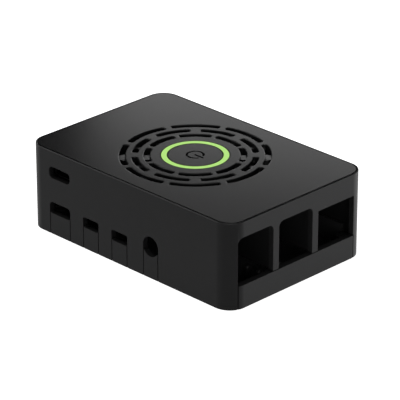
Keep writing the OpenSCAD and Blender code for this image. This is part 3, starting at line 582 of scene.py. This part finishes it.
def ribbon_cable():
    """The flat cable between the boards: round cores side by side, joined by thin webs."""
    low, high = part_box("link_ribbon")
    core_r = (high.y - low.y) / RIBBON_CORES / 2
    upper = []
    for core in range(RIBBON_CORES):
        for k in range(CORE_STEPS):
            a = math.pi * (1 - k / CORE_STEPS)
            side = (2 * core + 1 - RIBBON_CORES) * core_r + core_r * math.cos(a)
            upper.append((side, RIBBON_T / 2 * max(RIBBON_WEB, math.sin(a))))
    upper.append((RIBBON_CORES * core_r, RIBBON_WEB * RIBBON_T / 2))
    outline = upper + [(u, -v) for u, v in reversed(upper)]
    corners = [v.co for v in NODES["link_ribbon"].data.vertices]
    heights = [c.z for c in corners if abs(c.x - high.x) < HAIR]
    start_z = sum(heights) / len(heights)
    start = Vector((high.x, (low.y + high.y) / 2, start_z))
    end = Vector((low.x, start.y, low.z + high.z - start_z))
    route = [start.lerp(end, i / RIBBON_POINTS) for i in range(RIBBON_POINTS + 1)]
    bm = bmesh.new()
    swept(bm, route, outline)
    return shown("link_ribbon_cable", bm, "link_ribbon", [MATERIAL[SLOT["link_ribbon"]]])


# Parts under the power board

LEG_OUT = 0.7 * MM
LEG_W = 0.3 * MM
LEG_T = 0.12 * MM
LEG_PITCH = 0.65 * MM
COIL_EDGE = 0.5 * MM
# A leg's bends, as shares of its reach: root inside the chip, shoulder, heel and toe
LEG_BENDS = (-0.1, 0.3, 0.5, 1)


def blocks(node):
    """Lowest and highest corners of each separate solid in a node."""
    bm = cleaned(node)
    seen = set()
    boxes = []
    for first in bm.verts:
        if first in seen:
            continue
        seen.add(first)
        group = [first]
        for v in group:
            fresh = [e.other_vert(v) for e in v.link_edges if e.other_vert(v) not in seen]
            seen.update(fresh)
            group.extend(dict.fromkeys(fresh))
        boxes.append(tuple(Vector(pick(v.co[i] for v in group) for i in range(3))
                           for pick in (min, max)))
    bm.free()
    return boxes


def block(bm, low, high, edge):
    """A box with rounded edges."""
    place = Matrix.LocRotScale((low + high) / 2, None, high - low)
    made = bmesh.ops.create_cube(bm, size=1, matrix=place)
    bevelled(bm, list(dict.fromkeys(e for v in made["verts"] for e in v.link_edges)), edge)


def added(bm, other, index):
    """Adds another mesh, in the finish of that index."""
    for face in other.faces:
        face.material_index = index
    mesh = bpy.data.meshes.new("added")
    other.to_mesh(mesh)
    other.free()
    bm.from_mesh(mesh)
    bpy.data.meshes.remove(mesh)


def legged_chips():
    """The chips with bent legs down two sides, and the coil with its broad edges."""
    bm = bmesh.new()
    legs = bmesh.new()
    boxes = blocks("board_chips")
    coil = max(boxes, key=lambda b: b[1].z - b[0].z)
    for low, high in boxes:
        if (low, high) == coil:
            block(bm, low, high, COIL_EDGE)
            continue
        inset = Vector((LEG_OUT, 0, 0))
        stand = Vector((0, 0, LEG_T))
        block(bm, low + inset, high - inset - stand, HAIR)
        middle = (low + high) / 2
        foot = high.z - LEG_T / 2
        rows = int((high.y - low.y - LEG_PITCH) / LEG_PITCH)
        for side in (-1, 1):
            root = middle.x + side * ((high.x - low.x) / 2 - LEG_OUT)
            for k in range(rows):
                y = middle.y + (k - (rows - 1) / 2) * LEG_PITCH
                heights = (middle.z, middle.z, foot, foot)
                route = [Vector((root + side * out * LEG_OUT, y, z))
                         for out, z in zip(LEG_BENDS, heights)]
                swept(legs, route, [(-LEG_W / 2, -LEG_T / 2), (LEG_W / 2, -LEG_T / 2),
                                    (LEG_W / 2, LEG_T / 2), (-LEG_W / 2, LEG_T / 2)])
    added(bm, legs, 1)
    finishes = [MATERIAL["chip_black"], MATERIAL["bright_steel"]]
    return shown("board_chips_legged", bm, "board_chips", finishes)


twisted_lead()
ribbon_cable()
legged_chips()
for node, obj in NODES.items():
    if not obj.hide_render:
        softened(node, HAIR)


# Stage, light and camera

def aim(obj, target):
    obj.rotation_euler = (Vector(target) - obj.location).to_track_quat("-Z", "Y").to_euler()


def soft_box(name, place, target, width, height, power):
    light = bpy.data.lights.new(name, "AREA")
    light.shape = "RECTANGLE"
    light.size = width
    light.size_y = height
    light.energy = power
    lamp = bpy.data.objects.new(name, light)
    lamp.location = place
    scene.collection.objects.link(lamp)
    aim(lamp, target)
    return lamp


def turned(lamp, side, away):
    """Turns a lamp's width along side, with its back towards away."""
    lamp.rotation_euler = Matrix((side, away.cross(side), away)).transposed().to_euler()


def seen_directly(tree):
    """1 for rays from the camera or from a mirror or glass, and 0 for the rest."""
    path = tree.nodes.new("ShaderNodeLightPath")
    value = path.outputs["Is Camera Ray"]
    for name in ("Is Glossy Ray", "Is Transmission Ray"):
        node = tree.nodes.new("ShaderNodeMath")
        node.operation = "MAXIMUM"
        tree.links.new(value, node.inputs[0])
        tree.links.new(path.outputs[name], node.inputs[1])
        value = node.outputs["Value"]
    return value


WHITE = (1, 1, 1, 1)
PAPER = (0.82, 0.82, 0.82, 1)
PAPER_ROUGH = 0.9
FLOOR_GLOW = 0.9
FLOOR_SIZE = 6.0
ROOM_LIGHT = 0.03

bpy.ops.mesh.primitive_plane_add(size=FLOOR_SIZE)
floor = bpy.context.object
floor.name = "floor"
paper = bpy.data.materials.new("paper")
paper.use_nodes = True
tree = paper.node_tree
bsdf = tree.nodes["Principled BSDF"]
bsdf.inputs["Base Color"].default_value = PAPER
bsdf.inputs["Roughness"].default_value = PAPER_ROUGH
bsdf.inputs["Specular IOR Level"].default_value = 0.0
bsdf.inputs["Emission Color"].default_value = WHITE
glow = tree.nodes.new("ShaderNodeMath")
glow.operation = "MULTIPLY"
glow.inputs[1].default_value = FLOOR_GLOW
tree.links.new(seen_directly(tree), glow.inputs[0])
tree.links.new(glow.outputs["Value"], bsdf.inputs["Emission Strength"])
floor.data.materials.append(paper)

world = bpy.data.worlds.new("studio")
scene.world = world
world.use_nodes = True
tree = world.node_tree
room = tree.nodes["Background"]
room.inputs["Color"].default_value = WHITE
room.inputs["Strength"].default_value = ROOM_LIGHT
white = tree.nodes.new("ShaderNodeBackground")
white.inputs["Color"].default_value = WHITE
white.inputs["Strength"].default_value = 1.0
path = tree.nodes.new("ShaderNodeLightPath")
mix = tree.nodes.new("ShaderNodeMixShader")
tree.links.new(path.outputs["Is Camera Ray"], mix.inputs["Fac"])
tree.links.new(room.outputs["Background"], mix.inputs[1])
tree.links.new(white.outputs["Background"], mix.inputs[2])
tree.links.new(mix.outputs["Shader"], tree.nodes["World Output"].inputs["Surface"])

# The lid mirrors this box: its left and upper edges end inside the lid's view
PANEL_AWAY = 0.3
PANEL_SPAN = (-0.053, 0.19)
PANEL_RISE = (-0.14, -0.01)
PANEL_LEVEL = 1.55
PANEL_TILT = -9
# Where the lid's mirror sends the camera's view
back = Vector((-0.64, 0.64, 0.425)).normalized()
level_side = Vector((1, 1, 0)).normalized()
side = Matrix.Rotation(math.radians(PANEL_TILT), 3, back) @ level_side
rise = side.cross(back)
middle = (Vector((0, 0, TOP)) + PANEL_AWAY * back
          + sum(PANEL_SPAN) / 2 * side + sum(PANEL_RISE) / 2 * rise)
width, height = PANEL_SPAN[1] - PANEL_SPAN[0], PANEL_RISE[1] - PANEL_RISE[0]
power = PANEL_LEVEL * math.pi * width * height
panel = soft_box("lid_box", middle, middle - back, width, height, power)
turned(panel, side, back)

# Name, place, target, width, height and power of the other boxes. The right one stays low,
# under the lid's plane, so that it makes no glints in the slots.
LAMPS = (
    ("right_box", (0.3, 0.82, 0.026), (0, 0, 0.02), 0.5, 0.05, 13),
    ("top_box", (0.05, -0.05, 1.05), (0.05, -0.05, 0), 1.0, 1.0, 4),
    ("left_box", (-0.6, -0.25, 0.65), (0, 0, 0.02), 0.5, 0.5, 2),
    ("front_box", (0.85, -0.75, 0.25), (0.03, 0, 0.015), 1.0, 0.4, 2),
)
for lamp in LAMPS:
    soft_box(*lamp)

# The photo's camera, fitted to the outline and the ports
CAMERA_AT = (0.574538, -0.570457, 0.389004)
CAMERA_TO = (0.0014035, 0.0007821, 0.013956)
SENSOR_MM = 36
LENS_MM = 245
CLIP = (0.05, 20)

lens = bpy.data.cameras.new("camera")
lens.sensor_width = SENSOR_MM
lens.lens = LENS_MM
lens.clip_start, lens.clip_end = CLIP
camera = bpy.data.objects.new("camera", lens)
camera.location = CAMERA_AT
scene.collection.objects.link(camera)
aim(camera, CAMERA_TO)
scene.camera = camera
scene.view_settings.view_transform = "Standard"
